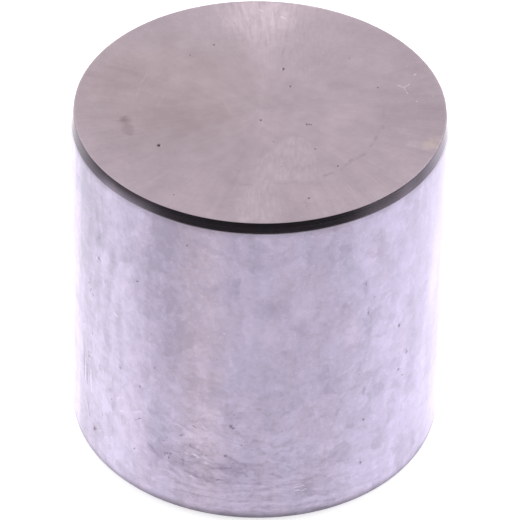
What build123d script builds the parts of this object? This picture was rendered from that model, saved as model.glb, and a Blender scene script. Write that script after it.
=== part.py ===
from build123d import *
import math
import os

# Cap-type valve shim of hardened steel, turned and bored from bar in one piece.
# It sits over the tip of a valve stem like a thimble, and a rocker bears on its ground top.
# Frame: millimetres, +Z along the axis towards the ground top, origin at the centre of the
# open rim that the shim stands on.

# Outside of the turned blank
outer_diameter = 10.00
rim_bevel_height = 0.31       # steep lead at the edge of the ground top, measured down the side
rim_bevel_angle = 14.0        # degrees from the side wall
base_edge_radius = 0.45       # rounded outer edge of the open rim

# Socket for the stem
stem_diameter = 8.00
stem_clearance = 0.03         # all round, on the radius
socket_depth = 5.60
socket_corner_radius = 0.30   # where the socket's wall meets its floor
mouth_chamfer = 0.20          # lead-in at the open rim, 45 degrees

# The size that the shim is chosen by: from the socket's floor to the ground top
crown_thickness = 4.55

outer_radius = outer_diameter / 2
socket_radius = stem_diameter / 2 + stem_clearance
overall_height = socket_depth + crown_thickness
rim_bevel_inset = rim_bevel_height * math.tan(math.radians(rim_bevel_angle))


def turned_blank():
    """The solid of revolution that the lathe and the grinder leave, before boring."""
    rim_start = (outer_radius - base_edge_radius, 0)
    side_start = (outer_radius, base_edge_radius)
    side_end = (outer_radius, overall_height - rim_bevel_height)
    top_edge = (outer_radius - rim_bevel_inset, overall_height)
    with BuildPart() as blank:
        with BuildSketch(Plane.XZ):
            with BuildLine():
                Line((0, 0), rim_start)
                RadiusArc(rim_start, side_start, -base_edge_radius)
                Polyline(side_start, side_end, top_edge, (0, overall_height), (0, 0))
            make_face()
        revolve(axis=Axis.Z)
    return blank.part


def stem_socket():
    """The blind bore as a solid to cut away, with its corner radius and its lead-in."""
    mouth_edge = (socket_radius + mouth_chamfer, 0)
    wall_start = (socket_radius, mouth_chamfer)
    wall_end = (socket_radius, socket_depth - socket_corner_radius)
    floor_edge = (socket_radius - socket_corner_radius, socket_depth)
    with BuildPart() as socket:
        with BuildSketch(Plane.XZ):
            with BuildLine():
                Polyline((0, 0), mouth_edge, wall_start, wall_end)
                RadiusArc(wall_end, floor_edge, -socket_corner_radius)
                Polyline(floor_edge, (0, socket_depth), (0, 0))
            make_face()
        revolve(axis=Axis.Z)
    return socket.part


valve_shim = turned_blank() - stem_socket()

os.makedirs("parts", exist_ok=True)
export_step(valve_shim, "parts/valve_shim.step")
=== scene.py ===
import math

import bmesh
import bpy
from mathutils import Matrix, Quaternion, Vector, noise


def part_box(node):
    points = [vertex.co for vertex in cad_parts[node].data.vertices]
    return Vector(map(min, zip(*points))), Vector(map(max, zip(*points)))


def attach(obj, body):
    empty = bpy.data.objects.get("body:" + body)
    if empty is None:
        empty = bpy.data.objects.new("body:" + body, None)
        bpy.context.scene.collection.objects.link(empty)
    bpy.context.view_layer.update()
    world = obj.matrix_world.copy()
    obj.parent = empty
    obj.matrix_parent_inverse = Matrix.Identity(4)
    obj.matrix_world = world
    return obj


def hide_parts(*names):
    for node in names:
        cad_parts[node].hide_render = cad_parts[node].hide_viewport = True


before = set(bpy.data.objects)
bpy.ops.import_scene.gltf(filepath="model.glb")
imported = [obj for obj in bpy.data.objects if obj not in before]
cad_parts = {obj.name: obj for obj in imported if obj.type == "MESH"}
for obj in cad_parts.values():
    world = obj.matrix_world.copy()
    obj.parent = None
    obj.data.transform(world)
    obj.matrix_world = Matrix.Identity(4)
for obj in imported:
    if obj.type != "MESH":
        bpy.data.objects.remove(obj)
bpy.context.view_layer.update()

# The shim is one piece of hardened steel, turned and bored from bar: a thimble that sits on the
# tip of a valve stem. Its corners are broken by tumbling, and its crown is ground flat last.
MM = 0.001
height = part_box("valve_shim")[1].z
outer_radius = 5.00 * MM
rim_bevel_height = 0.31 * MM
rim_bevel_inset = rim_bevel_height * math.tan(math.radians(14.0))
crown_radius = outer_radius - rim_bevel_inset
side_top = height - rim_bevel_height
base_edge_radius = 0.45 * MM
socket_radius = 4.03 * MM
socket_depth = 5.60 * MM
socket_corner_radius = 0.30 * MM
mouth_chamfer = 0.20 * MM
ground_edge_radius = 0.005 * MM        # left sharp by the grinding wheel
bevel_edge_radius = 0.035 * MM         # worn round by tumbling
mouth_edge_radius = bevel_edge_radius / 2
hold = 0.06 * MM                       # rings beside a corner keep the flats beside it flat
edge_ring = 0.08                       # and one this share down the bevel does so for the crown

# Each corner of the outline: its radius, its level, and the radius that rounds it.
outline = [
    (0, height, 0),
    (crown_radius - hold, height, 0),
    (crown_radius, height, ground_edge_radius),
    (crown_radius + edge_ring * rim_bevel_inset, height - edge_ring * rim_bevel_height, 0),
    (outer_radius, side_top, bevel_edge_radius),
    (outer_radius, side_top - 2 * hold, 0),
    (outer_radius, base_edge_radius + hold, 0),
    (outer_radius, 0, base_edge_radius),
    (socket_radius + mouth_chamfer + hold, 0, 0),
    (socket_radius + mouth_chamfer, 0, mouth_edge_radius),
    (socket_radius, mouth_chamfer, mouth_edge_radius),
    (socket_radius, mouth_chamfer + hold, 0),
    (socket_radius, socket_depth - socket_corner_radius - hold, 0),
    (socket_radius, socket_depth, socket_corner_radius),
    (socket_radius - socket_corner_radius - hold, socket_depth, 0),
    (0, socket_depth, 0),
]
shim_mesh = bmesh.new()
corners = [shim_mesh.verts.new((radius, 0, level)) for radius, level, rounding in outline]
for start, end in zip(corners, corners[1:]):
    shim_mesh.edges.new((start, end))
for corner, (_, _, rounding) in zip(corners, outline):
    if rounding:
        facets = 12 if rounding > hold else 4
        bmesh.ops.bevel(
            shim_mesh, geom=[corner], offset=rounding, offset_type="OFFSET", segments=facets,
            profile=0.5, affect="VERTICES", material=-1)

# The side is cut into rings. Then one sector is spun from the outline, and copied round the axis.
side_start = outer_radius - 0.1 * MM   # from here outwards it is the side
side_rings = 136
steps_round = 512
sectors = 16
sector_angle = math.tau / sectors
weld_distance = 0.0005 * MM
outer_edges = [edge for edge in shim_mesh.edges if edge.verts[0].co.x > side_start]
side_edge = max(outer_edges, key=lambda edge: edge.calc_length())
bmesh.ops.subdivide_edges(shim_mesh, edges=[side_edge], cuts=side_rings)
bmesh.ops.spin(
    shim_mesh, geom=shim_mesh.verts[:] + shim_mesh.edges[:], cent=(0, 0, 0), axis=(0, 0, 1),
    angle=sector_angle, steps=steps_round // sectors)
bmesh.ops.spin(
    shim_mesh, geom=shim_mesh.verts[:] + shim_mesh.edges[:] + shim_mesh.faces[:],
    cent=(0, 0, 0), axis=(0, 0, 1), angle=math.tau - sector_angle, steps=sectors - 1,
    use_duplicate=True)
bmesh.ops.remove_doubles(shim_mesh, verts=shim_mesh.verts, dist=weld_distance)
bmesh.ops.recalc_face_normals(shim_mesh, faces=shim_mesh.faces)

# Tumbling leaves the side a little uneven: long shallow waves, and small knocks between them.
wave_length = 1.6 * MM
wave_depth = 0.006 * MM
wave_sink = 0.4 * wave_depth           # so that most of a wave lies inside the round side
knock_length = 0.45 * MM
knock_depth = 0.0012 * MM
fade_at_bevel = 0.5 * MM
fade_at_base = 0.3 * MM
waves_top = side_top - hold
for vert in shim_mesh.verts:
    if vert.co.xy.length > side_start and vert.co.z < waves_top:
        outwards = Vector((vert.co.x, vert.co.y, 0)).normalized()
        wave = wave_depth * noise.noise(vert.co / wave_length)
        knock = knock_depth * noise.noise(vert.co / knock_length)
        fade = min(1, (waves_top - vert.co.z) / fade_at_bevel, vert.co.z / fade_at_base)
        vert.co += outwards * (wave + knock - wave_sink) * fade

GROUND, BEVELLED, TUMBLED, TURNED = range(4)
for face in shim_mesh.faces:
    face.smooth = True
    middle = face.calc_center_median()
    looks_up = face.normal.z > 0.9
    if looks_up and middle.z > side_top:
        face.material_index = GROUND
    elif middle.z > side_top:
        face.material_index = BEVELLED
    elif middle.xy.length > outer_radius - base_edge_radius:
        face.material_index = TUMBLED
    else:
        face.material_index = TURNED


class Pattern:
    """A socket in a material's node tree, so that a finish is written as arithmetic."""

    # How far the soft edge of a mark reaches, for each millimetre of its width.
    SPOT_REACH = 0.87
    STROKE_REACH = 1.3

    def __init__(self, tree, socket=None):
        self.tree = tree
        self.socket = socket

    def node(self, kind, inputs=None, output=0, **settings):
        """Adds a node with its settings, and a value or a link for each of its sockets."""
        made = self.tree.nodes.new(kind)
        for name, value in settings.items():
            setattr(made, name, value)
        for name, value in (inputs or {}).items():
            if isinstance(value, Pattern):
                self.tree.links.new(value.socket, made.inputs[name])
            else:
                made.inputs[name].default_value = value
        return Pattern(self.tree, made.outputs[output])

    def maths(self, operation, *values):
        """Arithmetic on plain numbers."""
        return self.node("ShaderNodeMath", dict(enumerate(values)), operation=operation)

    def __add__(self, other):
        return self.maths("ADD", self, other)

    def __radd__(self, other):
        return self.maths("ADD", other, self)

    def __sub__(self, other):
        return self.maths("SUBTRACT", self, other)

    def __rsub__(self, other):
        return self.maths("SUBTRACT", other, self)

    def __mul__(self, other):
        return self.maths("MULTIPLY", self, other)

    def __rmul__(self, other):
        return self.maths("MULTIPLY", other, self)

    def between(self, low, high, start=0.0, end=1.0):
        """Runs smoothly from start to end as the value goes from low to high."""
        return self.node(
            "ShaderNodeMapRange",
            {"Value": self, "From Min": low, "From Max": high, "To Min": start, "To Max": end},
            interpolation_type="SMOOTHSTEP")

    def vector(self, operation, *values, output=0):
        """Arithmetic on places, directions and colours."""
        return self.node(
            "ShaderNodeVectorMath", dict(enumerate(values)), output, operation=operation)

    def length(self):
        """How far this place is from the origin."""
        return self.vector("LENGTH", self, output="Value")

    def along(self, axis):
        """How far this place or direction goes along X, Y or Z."""
        return self.node("ShaderNodeSeparateXYZ", {0: self}, axis)

    def scaled(self, x, y, z):
        """A place or direction, stretched along each axis."""
        return self.vector("MULTIPLY", self, (x, y, z))

    def moved(self, offset):
        """A place, moved by another vector."""
        return self.vector("ADD", self, offset)

    def noise(self, scale, detail, roughness, output=0):
        """Cloudy noise, from 0 to 1."""
        return self.node(
            "ShaderNodeTexNoise",
            {"Vector": self, "Scale": scale, "Detail": detail, "Roughness": roughness}, output)

    def grain(self, scale, detail=2.0, roughness=0.5):
        """Cloudy noise about 0, from -1 to 1 or so."""
        return (self.noise(scale, detail, roughness) - 0.5) * 2

    def ragged(self, scale, reach):
        """This place, pushed about a little, so that what is drawn there has a ragged edge."""
        push = self.noise(scale, 2, 0.6, "Color").moved((-0.5, -0.5, -0.5))
        return self.moved(push.scaled(reach, reach, reach))

    def dents(self, scale):
        """Flat patches beside each other, each with its own value from -1 to 1."""
        patch = self.node("ShaderNodeTexVoronoi", {"Vector": self, "Scale": scale}, "Color")
        return (patch.node("ShaderNodeSeparateColor", {0: patch}) - 0.5) * 2

    def spot(self, middle, across, inner=0.25):
        """1 on a round spot, falling to 0 round it."""
        gap = self.vector("DISTANCE", self, Vector(middle).to_3d(), output="Value")
        outer = (1 - inner) * self.SPOT_REACH
        return gap.between(inner * across, outer * across, 1.0, 0.0)

    def stroke(self, start, end, across, inner=0.25):
        """1 along a stroke with tapered ends, falling to 0 beside it."""
        start, end = Vector(start).to_3d(), Vector(end).to_3d()
        length = (end - start).length
        swell = math.hypot(length, across) - length
        to_start = self.vector("DISTANCE", self, start, output="Value")
        to_end = self.vector("DISTANCE", self, end, output="Value")
        outer = (1 - inner) * self.STROKE_REACH
        return (to_start + to_end).between(
            length + inner ** 2 * swell, length + outer ** 2 * swell, 1.0, 0.0)

    def strokes(self, marks, inner=0.25):
        """Many strokes at once. Each mark is its two ends and its width."""
        together = 0.0
        for start, end, across in marks:
            together = self.stroke(start, end, across, inner) + together
        return together

    def tinted(self, first, second):
        """A colour that goes from the first to the second as this value goes from 0 to 1."""
        first, second = (
            colour if isinstance(colour, Pattern) else (*colour, 1) for colour in (first, second))
        # Sockets 6 and 7 of this node take its two colours, and 2 gives the result.
        return self.node(
            "ShaderNodeMix", {0: self, 6: first, 7: second}, 2,
            data_type="RGBA", clamp_factor=True)


def in_millimetres(tree):
    """The place on the object that a material lies on."""
    place = Pattern(tree).node("ShaderNodeTexCoord", output="Object")
    return place.scaled(1 / MM, 1 / MM, 1 / MM)


def new_finish(name):
    """An empty metal material. Returns it, its shader node, and the place in millimetres."""
    material = bpy.data.materials.new(name)
    material.use_nodes = True
    shader = material.node_tree.nodes["Principled BSDF"]
    shader.inputs["Metallic"].default_value = 1.0
    return material, shader, in_millimetres(material.node_tree)


def feed(shader, colour, roughness, relief):
    """Joins a finish's colour, roughness and relief in millimetres to its shader."""
    tree = shader.id_data
    tree.links.new(colour.socket, shader.inputs["Base Color"])
    tree.links.new(roughness.socket, shader.inputs["Roughness"])
    bump = relief.node("ShaderNodeBump", {"Height": relief, "Distance": MM, "Strength": 1.0})
    tree.links.new(bump.socket, shader.inputs["Normal"])


def lay_round(shader, across):
    """Gives the shader fine lines that run round the axis, or across that direction."""
    shader.inputs["Anisotropic Rotation"].default_value = 0.0 if across else 0.25
    tree = shader.id_data
    tangent = Pattern(tree).node("ShaderNodeTangent", direction_type="RADIAL", axis="Z")
    tree.links.new(tangent.socket, shader.inputs["Tangent"])


# The crown is ground on a rotary table: fine lines run from near its middle to its edge, so lamps
# at the sides light it up in a fan towards the front and the back. The rocker has rubbed a circle
# in the middle, where the lines are fainter, and has left pits and scratches.
crown_level = height / MM
lines_meet = 0.35
rubbed_radius = 3.30
ring_width = 0.07

# Each place is how far it lies to the right and to the back of the middle, in millimetres. A pit
# has its place and its width, and a stroke its two ends and its width. A sooty stroke also has
# how strongly it is seen.
pits = (
    (0.61, 1.81, 0.10), (0.78, 1.03, 0.085), (0.02, -0.48, 0.065), (1.22, -0.63, 0.07),
    (1.29, -0.635, 0.075), (1.36, -0.64, 0.06), (0.37, -1.41, 0.05), (1.45, -1.71, 0.055),
    (0.59, -2.50, 0.05), (-2.63, -1.68, 0.13), (-2.62, -1.69, 0.07), (-2.16, -3.78, 0.06),
    (-1.28, 2.86, 0.06), (1.30, -3.83, 0.06), (-1.90, 2.35, 0.05), (2.35, 2.35, 0.05),
    (2.05, -2.42, 0.06), (3.10, 1.06, 0.05))
scratches = (
    ((3.62, 1.22), (3.80, 1.06), 0.05), ((3.95, 1.25), (3.80, 1.06), 0.05),
    ((3.80, 1.06), (3.92, 0.78), 0.05), ((4.11, 0.48), (4.17, 0.46), 0.06),
    ((4.05, 1.66), (4.13, 1.72), 0.07), ((0.50, 4.22), (0.66, 4.12), 0.07),
    ((-0.10, 4.52), (0.05, 4.45), 0.06))
faint_scratches = (
    ((-3.30, 0.35), (-3.20, 0.90), 0.07), ((-3.18, 1.05), (-3.02, 1.50), 0.08),
    ((-3.10, 0.80), (-2.96, 1.30), 0.05), ((-2.73, 0.00), (-2.52, 0.70), 0.05),
    ((-0.25, 0.00), (-0.18, -0.14), 0.09), ((-0.12, -0.12), (-0.02, 0.06), 0.09),
    ((-0.98, 0.40), (-0.90, 0.10), 0.10), ((-0.90, 0.10), (-0.70, -0.30), 0.07),
    ((1.75, 2.30), (1.62, 2.75), 0.05), ((2.30, -0.02), (2.75, 0.05), 0.06))
sooty = (
    ((-3.57, -0.56), (-3.53, -0.58), 0.28, 2.6), ((-3.50, -0.75), (-3.40, -1.20), 0.34, 1.3),
    ((-2.78, -0.75), (-2.68, -0.85), 0.30, 0.35), ((-0.75, -3.15), (-0.60, -3.20), 0.35, 0.45),
    ((-0.56, -2.62), (-0.50, -2.75), 0.16, 0.6), ((1.85, 1.13), (2.40, 1.10), 0.36, 0.35),
    ((-1.86, 2.30), (-1.78, 2.60), 0.22, 0.45), ((3.20, -0.62), (3.26, -0.80), 0.14, 0.8),
    ((-0.45, -3.27), (-0.10, -3.29), 0.12, 0.7), ((0.35, -3.22), (0.80, -3.20), 0.10, 0.5),
    ((3.28, 0.15), (3.22, -0.40), 0.10, 0.5), ((1.15, -3.95), (1.30, -4.05), 0.12, 0.6),
    ((-0.50, 3.40), (-0.62, 3.25), 0.14, 0.5), ((-0.20, 3.38), (-0.30, 3.22), 0.12, 0.5))
bleached = (
    ((-2.25, 2.85), (-1.90, 2.90), 0.45), ((-2.15, 2.10), (-2.05, 1.90), 0.40),
    ((-2.35, 1.30), (-2.15, 1.25), 0.40), ((-4.40, 0.50), (-4.45, 0.30), 0.35),
    ((4.15, -1.40), (3.95, -1.36), 0.30))
# Painted highlights: strokes of the fan of light in front of the middle.
painted_fan_strokes = (
    ((1.02, -1.25), (1.20, -3.20), 0.8), ((1.00, -1.25), (0.55, -3.20), 0.8),
    ((0.95, -1.30), (-0.15, -3.20), 0.7))

ground, ground_shader, place = new_finish("ground_steel")
place = place.scaled(1, 1, 0)
from_axis = place.length()
from_meet = place.moved((-lines_meet, 0, 0))
reach = from_meet.length()
direction = from_meet.vector("NORMALIZE", from_meet)
long_run = reach.node("ShaderNodeCombineXYZ", {"Z": reach * 0.3})
short_run = reach.node("ShaderNodeCombineXYZ", {"Z": reach * 1.1})
lines = direction.scaled(12, 12, 1).moved(long_run).grain(1, 2, 0.6)
fine_lines = direction.scaled(38, 38, 1).moved(short_run).grain(1, 2, 0.6)
cloud = place.grain(0.7, 4, 0.6)
mottle = place.grain(3.0, 4, 0.65)
worn = place.ragged(1.6, 0.4).length()
ring = worn.between(rubbed_radius - ring_width, rubbed_radius)
ring = ring * worn.between(rubbed_radius, rubbed_radius + ring_width, 1.0, 0.0)
ring_side = direction.vector("DOT_PRODUCT", direction, (0.71, -0.71, 0), output="Value")
ring = ring * ring_side.between(0.78, 0.93) * place.grain(3.2, 3, 0.7).between(-0.15, 0.35)
backwards = place.along("Y")
# Painted highlights: pale patches where the fan of light is brightest, in front of the middle and
# behind it.
fan_edge = place.ragged(3, 0.4)
painted_front_fan = fan_edge.strokes(painted_fan_strokes, 0.0).between(0, 1.1) * backwards.between(-3.14, -3.0)
painted_outer_fans = (1.4 * fan_edge.stroke((0.05, -3.2), (-0.05, -5.2), 1.3, 0.1)
               + 0.4 * fan_edge.stroke((-0.1, 3.4), (-0.1, 4.6), 2.6, 0.0)
               + 0.7 * fan_edge.stroke((0.9, 1.8), (1.3, 4.8), 2.4, 0.0)
               + 0.4 * fan_edge.stroke((-1.0, 3.0), (-1.3, 4.7), 1.8, 0.0))
cuts = place.scaled(11, 2.6, 1).grain(1, 2, 0.6)
dark_specks = place.noise(17, 2, 0.5).between(0.66, 0.74) * worn.between(1.5, 4.0, 0.2, 1.0)
pale_specks = place.noise(13, 2, 0.5).between(0.66, 0.74) * worn.between(2.5, 4.5, 0.0, 1.0)
duller = (0.36 * place.ragged(1.5, 0.6).spot((-2.5, -0.75), 3.4, 0.0)
          + 0.4 * place.ragged(1.5, 0.5).spot((4.5, -0.4), 2.4, 0.0))
tone = (0.5 + 0.11 * lines + 0.10 * fine_lines + 0.58 * cloud + 0.40 * mottle - 0.8 * ring
        + 0.7 * pale_specks - 0.6 * dark_specks - duller)
colour = tone.tinted((0.332, 0.266, 0.305), (0.452, 0.367, 0.418))
rough_edge = place.ragged(6, 0.10)
olive = place.ragged(0.8, 2.0).spot((-2.6, 0.8), 5.0, 0.1)
colour = (0.7 * olive).tinted(colour, tone.tinted((0.325, 0.258, 0.265), (0.445, 0.358, 0.370)))
yellow = rough_edge.ragged(4, 0.7).spot((4.50, -1.42), 0.55, 0.0)
colour = (0.4 * yellow).tinted(colour, (0.60, 0.50, 0.44))
pitted = 0.0
for right, back, across in pits:
    pitted = rough_edge.spot((right, back), across) + pitted
smoky_edge = rough_edge.ragged(2.5, 0.25)
smudged = 0.0
for start, end, across, share in sooty:
    smudged = share * smoky_edge.stroke(start, end, across, 0.0) + smudged
dotted = place.grain(8, 2, 0.6).between(-0.3, 0.2, 0.2, 1.0)
scratched = rough_edge.strokes(scratches) + 0.24 * dotted * rough_edge.strokes(faint_scratches)
scratched = scratched + 0.14 * smoky_edge.strokes(bleached, 0.0)
# The painted fan highlights, streaked by the cuts, make the colour paler there.
painted_fan_highlight = (0.10 * painted_front_fan + 0.08 * painted_outer_fans) * (1 + 2.4 * cuts)
colour = painted_fan_highlight.tinted(colour, (0.66, 0.57, 0.62))
colour = (0.34 * scratched).tinted(colour, (0.80, 0.74, 0.78))
colour = (0.20 * smudged).tinted(colour, (0.16, 0.11, 0.13))
colour = (0.65 * pitted).tinted(colour, (0.05, 0.035, 0.04))
dome = from_axis * from_axis * -0.0035
relief = dome + reach * (0.0005 * lines + 0.0004 * fine_lines) + 0.0008 * mottle - 0.01 * pitted
feed(ground_shader, colour, 0.32 + 0.04 * cloud, relief)
ground_shader.inputs["Anisotropic"].default_value = 0.95
lay_round(ground_shader, across=True)

# Where the lines are worn away, a plain finish of the same colour shows through them.
tree = ground.node_tree
lined = Pattern(tree, ground_shader.outputs["BSDF"])
rubbed = Pattern(tree).node("ShaderNodeBsdfPrincipled", {"Metallic": 1.0}, output="BSDF")
feed(rubbed.socket.node, colour, 0.38 + 0.04 * cloud, relief)
lines_left = worn.between(2.2, 4.8, 0.05, 0.30) * backwards.between(-2, 2, 0.35, 1.2)
lines_left = lines_left * (1 + 1.3 * fine_lines + 0.3 * lines)
both = rubbed.node("ShaderNodeMixShader", {0: lines_left, 1: rubbed, 2: lined})
tree.links.new(both.socket, tree.nodes["Material Output"].inputs["Surface"])

# The steep bevel round the crown is turned smooth before hardening. Its colour is darkened as
# painted shade, for the dim surroundings that it mirrors. Painted highlights make it paler low
# down on the left, with painted shade at the top there, and paler all over on the right, where
# it faces the side lamps.
bevelled, bevelled_shader, place = new_finish("bevel_steel")
level = place.along("Z")
rings = place.scaled(0.3, 0.3, 30).grain(1, 2, 0.5)
# Painted highlights and shade on the bevel's left and right, where it faces the side lamps.
painted_light_left = place.scaled(1, 1, 0).spot((-3.5, -3.5), 2.6, 0.1)
painted_light_right = place.scaled(1, 1, 0).spot((4.60, -1.70), 3.0, 0.1)
low_down = level.between(side_top / MM, crown_level, 1.0, 0.0)
tone = (0.45 + 0.06 * rings + 0.10 * place.ragged(2, 0.4).grain(2.5, 5, 0.75)
        + painted_light_left * (1.1 * low_down - 0.45) + painted_light_right * (0.56 + 0.08 * low_down))
feed(bevelled_shader, tone.tinted((0.11, 0.09, 0.107), (0.33, 0.285, 0.355)),
     0.16 + 0.03 * rings, 0.0005 * rings)

# The side is tumbled to a soft satin: small shallow dents overlap all over it, with pits and
# nicks between them. Low down the fine lines of the lathe still show.

# Each place is how far it lies round the side from the front to the right, in degrees, and how
# far below the crown, in millimetres. A pit has its place and its width, and a stroke its two
# ends and its width.
side_pits = (
    (-56.4, 2.94, 0.10), (-38.5, 2.78, 0.09), (-45.8, 6.04, 0.07), (-37.5, 6.28, 0.08),
    (-32.0, 5.40, 0.06), (-7.0, 6.76, 0.11), (-6.2, 6.81, 0.10), (-6.2, 6.36, 0.05),
    (-8.6, 7.80, 0.09), (-27.4, 8.18, 0.07), (-26.3, 8.14, 0.06), (-26.8, 8.31, 0.07),
    (-24.3, 8.37, 0.05), (-28.7, 7.78, 0.06), (-27.5, 7.63, 0.04), (-25.7, 7.85, 0.04),
    (-39.7, 8.52, 0.07), (-59.3, 8.95, 0.14), (-21.3, 0.97, 0.06), (36.0, 3.55, 0.07),
    (37.9, 3.12, 0.06), (49.0, 4.60, 0.10), (53.4, 5.72, 0.10), (49.5, 6.12, 0.09),
    (35.5, 7.20, 0.08), (35.0, 8.66, 0.07), (8.5, 6.90, 0.05), (-3.6, 7.40, 0.05))
side_strokes = (
    (-56.4, 2.28, -55.7, 2.20, 0.07), (-56.2, 2.95, -54.8, 2.98, 0.07),
    (-61.0, 3.05, -60.0, 2.97, 0.05), (-66.2, 3.77, -65.2, 3.70, 0.07),
    (-63.3, 4.16, -62.0, 4.08, 0.06), (-62.0, 4.35, -61.2, 4.23, 0.09),
    (-61.0, 4.33, -59.3, 4.38, 0.08), (-67.3, 5.75, -66.3, 5.70, 0.08),
    (-61.0, 5.78, -60.0, 5.68, 0.09), (-63.6, 6.55, -63.2, 6.52, 0.09),
    (-63.5, 6.72, -62.5, 6.62, 0.09), (-66.8, 6.60, -66.7, 7.75, 0.09),
    (-64.4, 7.00, -64.4, 7.75, 0.10), (-64.5, 8.20, -62.5, 8.75, 0.10),
    (-60.4, 9.08, -58.2, 8.86, 0.12), (-50.2, 7.38, -49.5, 7.32, 0.07),
    (-54.7, 8.13, -54.7, 8.22, 0.07), (-39.5, 7.52, -36.5, 7.32, 0.06),
    (-28.2, 8.15, -28.1, 8.33, 0.05), (-23.3, 7.43, -21.5, 7.38, 0.08),
    (-20.3, 7.65, -18.3, 7.75, 0.06), (-15.0, 7.87, -14.3, 7.92, 0.07),
    (-15.5, 8.05, -14.5, 8.08, 0.05), (-6.4, 8.05, -5.6, 8.05, 0.06),
    (-11.3, 8.68, -10.6, 8.66, 0.05), (-19.2, 6.95, -17.8, 7.02, 0.05),
    (52.3, 6.45, 51.2, 6.38, 0.07), (34.6, 2.50, 34.8, 2.64, 0.07))
side_bands = (
    (-34.6, 8.08, -30.2, 8.40, 0.13), (-27.0, 8.38, -24.8, 8.55, 0.12),
    (-22.4, 8.16, -22.0, 8.46, 0.10), (-20.5, 7.62, -16.5, 7.78, 0.10),
    (-19.8, 8.05, -17.0, 8.01, 0.08), (-20.5, 6.82, -17.0, 6.78, 0.07),
    (-21.5, 8.58, -17.0, 8.70, 0.16), (-17.8, 8.73, -10.8, 8.70, 0.26),
    (-11.0, 8.67, -1.0, 8.74, 0.16), (-1.0, 8.72, 3.0, 8.70, 0.10),
    (-13.2, 8.30, -5.5, 8.20, 0.12), (-8.3, 7.82, -4.5, 8.00, 0.12), (-5.5, 8.02, 3.0, 8.06, 0.15),
    (-5.6, 8.30, -1.5, 8.32, 0.14), (5.0, 8.36, 9.2, 8.54, 0.10), (10.0, 8.12, 13.2, 8.34, 0.11),
    (6.5, 8.80, 13.0, 8.78, 0.09), (0.0, 8.92, 6.0, 8.90, 0.12), (-25.0, 9.08, -19.0, 9.05, 0.10),
    (-26.0, 9.34, -13.0, 9.32, 0.09), (13.0, 8.98, 17.0, 8.96, 0.08),
    (12.0, 9.36, 16.0, 9.33, 0.08), (15.0, 9.12, 21.0, 9.16, 0.08), (34.5, 2.44, 34.9, 2.88, 0.22),
    (52.4, 5.55, 53.6, 5.80, 0.18), (35.3, 6.00, 35.1, 6.32, 0.14), (34.8, 8.48, 34.8, 8.76, 0.12),
    (48.8, 4.52, 49.3, 4.68, 0.13), (35.9, 3.35, 36.1, 3.66, 0.12))
side_smudges = (
    (-60.0, 5.00, -59.5, 5.15, 0.22), (-52.4, 3.45, -51.3, 4.45, 0.24),
    (-33.0, 7.45, -29.5, 8.20, 0.85), (-61.0, 8.80, -57.5, 9.10, 0.40),
    (-27.0, 8.00, -14.0, 8.40, 1.00), (-10.0, 8.15, 9.0, 8.30, 1.10),
    (-34.5, 8.10, -29.0, 8.45, 0.30), (-26.5, 8.20, -20.0, 8.55, 0.45),
    (-21.0, 7.50, -16.0, 7.80, 0.40), (-20.5, 8.62, -5.0, 8.74, 0.30),
    (-14.0, 8.28, -2.0, 8.15, 0.30), (-27.0, 6.75, -25.5, 6.95, 0.22),
    (36.3, 3.70, 36.2, 4.90, 0.28), (55.0, 6.15, 57.0, 6.35, 0.40), (49.0, 6.05, 49.6, 6.15, 0.34),
    (27.0, 3.10, 28.0, 3.15, 0.30), (12.0, 3.40, 14.5, 3.60, 0.50), (5.0, 2.70, 7.0, 2.85, 0.60),
    (50.8, 2.30, 52.8, 2.45, 0.80), (-66.0, 8.10, -63.0, 8.30, 0.25))
pale_strokes = (
    (-65.9, 6.90, -65.9, 7.70, 0.06), (-61.8, 7.00, -61.6, 7.80, 0.10),
    (-62.5, 4.52, -60.8, 4.62, 0.14), (-48.6, 4.33, -46.8, 4.40, 0.12),
    (-55.0, 2.78, -54.4, 3.03, 0.06), (-58.2, 2.95, -57.6, 3.08, 0.06),
    (-57.5, 5.80, -56.8, 5.74, 0.06), (-61.7, 6.48, -61.3, 6.52, 0.08),
    (-62.6, 6.75, -61.9, 6.72, 0.05), (-46.5, 7.55, -42.0, 7.40, 0.06),
    (-40.5, 7.32, -36.3, 7.08, 0.05), (-48.0, 7.20, -44.0, 6.97, 0.06),
    (-57.0, 8.88, -54.8, 8.73, 0.05), (-15.0, 8.15, -14.4, 8.17, 0.08),
    (-14.4, 8.17, -12.4, 8.20, 0.05), (-19.0, 7.95, -17.4, 7.97, 0.07),
    (-17.3, 7.62, -17.0, 7.70, 0.05), (-16.2, 7.71, -15.6, 7.74, 0.05),
    (-20.0, 8.72, -18.2, 8.77, 0.09), (-18.6, 9.03, -17.8, 9.05, 0.05),
    (-20.3, 7.28, -19.2, 7.36, 0.12), (-18.6, 7.92, -17.0, 8.02, 0.12),
    (-19.8, 9.42, -19.2, 9.48, 0.08), (-21.5, 7.95, -20.6, 8.00, 0.07),
    (-17.9, 7.44, -16.8, 7.50, 0.08), (12.5, 8.90, 16.5, 8.88, 0.06),
    (12.5, 9.02, 16.8, 9.04, 0.06), (-17.0, 6.92, -14.5, 6.97, 0.05),
    (-26.0, 7.03, -21.0, 7.13, 0.06), (-22.8, 8.03, -22.2, 8.03, 0.05),
    (-40.4, 8.54, -40.1, 8.50, 0.05))


def on_side(turn, below_crown):
    """The place in millimetres of a point on the side."""
    turn = math.radians(turn)
    radius = outer_radius / MM
    return radius * math.sin(turn), -radius * math.cos(turn), crown_level - below_crown


def laid_on_side(marks):
    """The strokes of one of the side's lists, with their ends as places in millimetres."""
    return [
        (on_side(turn, below_crown), on_side(end_turn, end_below), across)
        for turn, below_crown, end_turn, end_below, across in marks]


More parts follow.
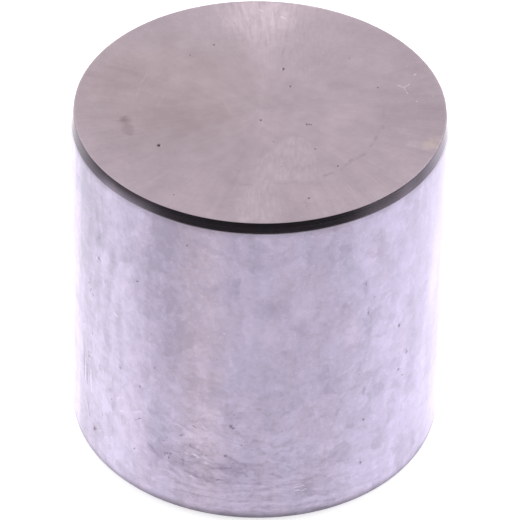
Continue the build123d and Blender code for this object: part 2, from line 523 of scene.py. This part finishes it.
tumbled, tumbled_shader, place = new_finish("tumbled_steel")
level = place.along("Z")
rough_edge = place.ragged(2.2, 0.35)
torn_edge = place.ragged(7, 0.12)
chipped = place.ragged(9, 0.12)
smears = place.ragged(1.1, 0.7).scaled(2.0, 2.0, 0.32).grain(1, 3, 0.55)
mottle = place.ragged(2, 0.5).grain(3.3, 4, 0.62)
broad_dents = rough_edge.dents(1.5)
dents = rough_edge.dents(3.4)
small_dents = torn_edge.dents(8.0)
flecks = place.noise(11, 2, 0.5).between(0.62, 0.72)
streaks = place.ragged(0.8, 0.3).scaled(3, 3, 0.4).grain(1, 4, 0.6)
turning = place.ragged(1.3, 0.35).scaled(1.0, 1.0, 8.0).grain(1, 3, 0.6)
low_down = level.between(0.5, 2.6, 1.0, 0.0)
low_down = low_down * (0.25 + 0.9 * rough_edge.spot(on_side(7, 8.8), 4.8, 0.1))
scuffs = place.ragged(1.4, 1.1).scaled(1.1, 1.1, 5.0).grain(1.3, 3, 0.65)
broken_up = place.grain(1.8, 1, 0.5).between(-0.4, 0.4, 0.3, 1.0)
scuffs = scuffs * (broken_up * rough_edge.spot(on_side(-21, 8.0), 3.2, 0.0)
                   + 0.8 * rough_edge.spot(on_side(4, 8.4), 5.0, 0.0))
round_place = place.ragged(1.3, 0.7).scaled(1, 1, 0)
left_flank = round_place.spot((-4.4, -2.6), 4.0, 0.1)
right_flank = round_place.spot((4.2, -2.7), 4.5, 0.1)
# Painted shade darkens a band at the front left and the left flank high up. Painted light
# brightens both front quarters.
shaded = (round_place.spot((-2.25, -4.47), 1.8, 0.0) * level.between(0.0, 10.0, 0.1, 1.0)
          + 0.9 * round_place.spot((-4.53, -2.11), 1.3, 0.0) * level.between(4, 9))
bright = (round_place.spot((-3.45, -3.62), 1.8, 0.0) * level.between(1.0, 9.0, 1.4, 0.8)
          + 0.6 * round_place.spot((3.45, -3.62), 1.5, 0.0) * level.between(3, 8))
dashes = place.scaled(2.5, 2.5, 14).grain(1, 2, 0.6) * level.between(2.0, 6.0, 1.0, 0.2)
dim_flecks = place.noise(9, 2, 0.5).between(0.62, 0.72)
# The tone also takes one more painted light, low down just left of the front.
tone = (0.5 + 0.42 * smears + (0.40 - 0.14 * right_flank - 0.16 * left_flank) * mottle
        + 0.13 * broad_dents + 0.15 * dents + (0.11 - 0.05 * right_flank) * small_dents
        + (0.2 + 0.5 * left_flank) * streaks + 1.05 * turning * low_down + 0.12 * dashes
        + 1.1 * scuffs + 0.3 * flecks - 0.15 * dim_flecks - 0.4 * shaded + 0.22 * bright
        + 0.2 * rough_edge.spot(on_side(-24, 7.5), 3.6, 0.0))
bluish = tone.tinted((0.392, 0.351, 0.470), (0.590, 0.530, 0.712))
rosy = tone.tinted((0.410, 0.349, 0.456), (0.614, 0.529, 0.685))
rosiness = (0.5 + place.scaled(1, 1, 0.6).grain(0.9, 2, 0.5) + 0.4 * streaks
            - 0.7 * right_flank)
colour = rosiness.tinted(bluish, rosy)
greyish = tone.tinted((0.395, 0.357, 0.455), (0.590, 0.535, 0.682))
colour = (0.8 * left_flank).tinted(colour, greyish)
# Painted reflection: a warm, paler patch just left of the front stands in for a warm light
# mirrored there.
painted_warm_reflection = place.ragged(1.6, 0.5).scaled(1, 1, 0).spot((-1.45, -4.78), 1.25, 0.1)
painted_warm_reflection = painted_warm_reflection * level.between(0.3, 3.0, 0.45, 1.0)
painted_warm_reflection = painted_warm_reflection * (0.85 + 1.2 * place.scaled(1, 1, 0.5).grain(3.5, 3, 0.7))
colour = (0.85 * painted_warm_reflection).tinted(colour, tone.tinted((0.46, 0.382, 0.475), (0.69, 0.58, 0.715)))
# Painted shade: the side darkens just above the base, for the shadow at its foot that it mirrors.
painted_foot_shade = level.between(0.30, 0.56, 1.0, 0.0)
colour = (0.36 * painted_foot_shade).tinted(colour, (0.20, 0.17, 0.21))
# Painted shade: a darker strip just below the bevel.
painted_shade_under_bevel = level.between(side_top / MM - 0.20, side_top / MM - 0.02)
colour = (0.26 * painted_shade_under_bevel).tinted(colour, (0.20, 0.165, 0.21))
pitted = 0.0
for turn, below_crown, across in side_pits:
    pitted = chipped.spot(on_side(turn, below_crown), across) + pitted
dragged = chipped.strokes(laid_on_side(side_strokes))
polished = chipped.strokes(laid_on_side(pale_strokes))
banded = chipped.strokes(laid_on_side(side_bands), 0.1)
smudged = place.ragged(3.5, 0.45).strokes(laid_on_side(side_smudges), 0.0)
colour = (0.13 * smudged + 0.24 * banded).tinted(colour, (0.20, 0.165, 0.25))
colour = (0.55 * polished).tinted(colour, (0.76, 0.69, 0.82))
colour = (0.52 * dragged).tinted(colour, (0.20, 0.165, 0.24))
colour = (0.5 * pitted).tinted(colour, (0.07, 0.05, 0.08))
relief = (0.0012 * mottle + 0.001 * dents + 0.0005 * small_dents
          + 0.003 * turning * low_down - 0.008 * pitted - 0.006 * dragged)
feed(tumbled_shader, colour, 0.46 + 0.05 * mottle + 0.03 * dents, relief)
tumbled_shader.inputs["Anisotropic"].default_value = 0.6
lay_round(tumbled_shader, across=False)

# The open rim and the socket are bored and left as turned.
turned, turned_shader, place = new_finish("turned_steel")
rings = place.scaled(0.3, 0.3, 7).grain(1, 2, 0.5)
tone = 0.5 + 0.2 * rings + 0.15 * place.grain(1.5, 2, 0.5)
feed(turned_shader, tone.tinted((0.36, 0.34, 0.36), (0.48, 0.45, 0.48)),
     0.36 + 0.04 * rings, 0.004 * rings)


def put_in_scene(name, data):
    """An object made of a mesh, a lamp or a camera."""
    made = bpy.data.objects.new(name, data)
    bpy.context.scene.collection.objects.link(made)
    return made


shim_data = bpy.data.meshes.new("valve_shim_turned")
shim_mesh.to_mesh(shim_data)
shim_mesh.free()
for finish in (ground, bevelled, tumbled, turned):
    shim_data.materials.append(finish)
shim = put_in_scene("valve_shim_turned", shim_data)
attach(shim, "root")
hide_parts("valve_shim")

# A round table of pale card under the shim. To the camera it is as white as the backdrop, apart
# from the shim's shadow. What the metal mirrors of it is bright near the shim and behind it.
table_radius = 34 * MM
card_glow = 0.56                       # lifts the card to the white of the backdrop
white = (1, 1, 1, 1)
table_mesh = bmesh.new()
bmesh.ops.create_circle(table_mesh, cap_ends=True, segments=128, radius=table_radius)
table_data = bpy.data.meshes.new("table")
table_mesh.to_mesh(table_data)
table_mesh.free()
table = put_in_scene("table", table_data)
table_card = bpy.data.materials.new("pale_card")
table_card.use_nodes = True
tree = table_card.node_tree
tree.nodes.clear()
card = Pattern(tree)
seen = card.node("ShaderNodeLightPath", output="Is Camera Ray")
mirrored = card.node("ShaderNodeLightPath", output="Is Glossy Ray")
matt = card.node("ShaderNodeBsdfDiffuse", {"Color": (0.80, 0.80, 0.80, 1)})
glow = card.node("ShaderNodeEmission", {"Color": white, "Strength": seen * card_glow})
lit = card.node("ShaderNodeAddShader", {0: matt, 1: glow})
place = in_millimetres(tree)
backwards = place.along("Y")
sideways = place.scaled(1, 0, 0).length()
outwards = place.length()
near_sides = outwards.between(5.5, 9, 0.7, 0.0) * backwards.between(-2, 1)
far_sides = outwards.between(15, 21, 0.9, 0.0) * backwards.between(7, 11)
far_off = 0.78 * outwards.between(11, 23) + 0.22 * outwards.between(22, 33)
far_off = far_off * backwards.between(-6, 5)
left_patch = place.spot((-12.3, 3), 7, 0.0)
right_behind = sideways.between(2, 8, 1.0, 0.0) * backwards.between(4, 6)
under_edge = outwards.between(5.0, 5.3, 0.35, 1.0)
mirror_level = (backwards.between(-20, -8, 1.60, 1.10) + backwards.between(-7, 1, 0.0, 0.45)
                + backwards.between(0, 6, 0.0, 1.2) + backwards.between(8, 11, 0.0, 0.55)
                + near_sides + far_sides)
mirror_level = mirror_level * (1 - 0.83 * far_off) * (1 - 0.25 * left_patch)
mirror_level = mirror_level * (1 - 0.55 * right_behind) * under_edge
reflected = card.node("ShaderNodeEmission", {"Color": white, "Strength": mirror_level})
both = card.node("ShaderNodeMixShader", {0: mirrored, 1: lit, 2: reflected})
output = tree.nodes.new("ShaderNodeOutputMaterial")
tree.links.new(both.socket, output.inputs["Surface"])
table_data.materials.append(table_card)

# The room is white to the camera. To the metal it is pale above and behind the shim, and dim low
# in front of it, with four soft lamps: a large one at each side and a strip behind each shoulder.
world = bpy.data.worlds.new("studio")
bpy.context.scene.world = world
world.use_nodes = True
tree = world.node_tree
tree.nodes.clear()
room = Pattern(tree)
direction = room.node("ShaderNodeTexCoord", output="Generated")
rise = direction.along("Z")
depth = direction.along("Y")
upper = depth.between(-0.6, 0.9, 0.43, 1.0)
lower = depth.between(-0.62, -0.30, 0.042, 0.36) + depth.between(0.3, 1.0, 0.0, 0.6)
seen = room.node("ShaderNodeLightPath", output="Is Camera Ray")
brightness = seen + (1 - seen) * (lower + rise.between(0.0, 0.2) * (upper - lower))
glow = room.node("ShaderNodeBackground", {"Color": white, "Strength": brightness})
output = tree.nodes.new("ShaderNodeOutputWorld")
tree.links.new(glow.socket, output.inputs["Surface"])


def softbox(name, turn, rise, distance, width, tall, power):
    """A soft lamp round the shim, turned from the front to the right and raised, in degrees."""
    lamp = bpy.data.lights.new(name, "AREA")
    lamp.shape = "RECTANGLE"
    lamp.size = width * MM
    lamp.size_y = tall * MM
    lamp.energy = power
    lamp_object = put_in_scene(name, lamp)
    turn, rise = math.radians(turn), math.radians(rise)
    away = Vector((
        math.sin(turn) * math.cos(rise), -math.cos(turn) * math.cos(rise), math.sin(rise)))
    lamp_object.location = lit_point + away * distance * MM
    lamp_object.rotation_mode = "QUATERNION"
    lamp_object.rotation_quaternion = (-away).to_track_quat("-Z", "Y")
    lamp_object.visible_camera = False


lit_point = Vector((0, 0, 5)) * MM
softbox("softbox_left", turn=-85, rise=18, distance=160, width=170, tall=100, power=0.17)
softbox("softbox_right", turn=82, rise=18, distance=160, width=170, tall=100, power=0.20)
softbox("strip_left", turn=-159, rise=29, distance=240, width=55, tall=30, power=0.052)
softbox("strip_right", turn=159, rise=29, distance=240, width=55, tall=30, power=0.052)

# The camera stands in front, well above the shim, and is tilted a little.
camera_distance = 141.15 * MM
camera_elevation = math.radians(36.51)
camera_roll = math.radians(1.13)
aim_point = Vector((0.072, -2.367, 6.954)) * MM
camera_data = bpy.data.cameras.new("camera")
camera_data.sensor_width = 36.0
camera_data.lens = 370.5
camera_data.clip_start = 0.01
camera_data.clip_end = 10.0
camera = put_in_scene("camera", camera_data)
camera.location = Vector((
    0, -camera_distance * math.cos(camera_elevation),
    height + camera_distance * math.sin(camera_elevation)))
camera.rotation_mode = "QUATERNION"
towards = (aim_point - camera.location).to_track_quat("-Z", "Y")
camera.rotation_quaternion = towards @ Quaternion((0, 0, 1), camera_roll)
bpy.context.scene.camera = camera
bpy.context.scene.view_settings.view_transform = "Standard"
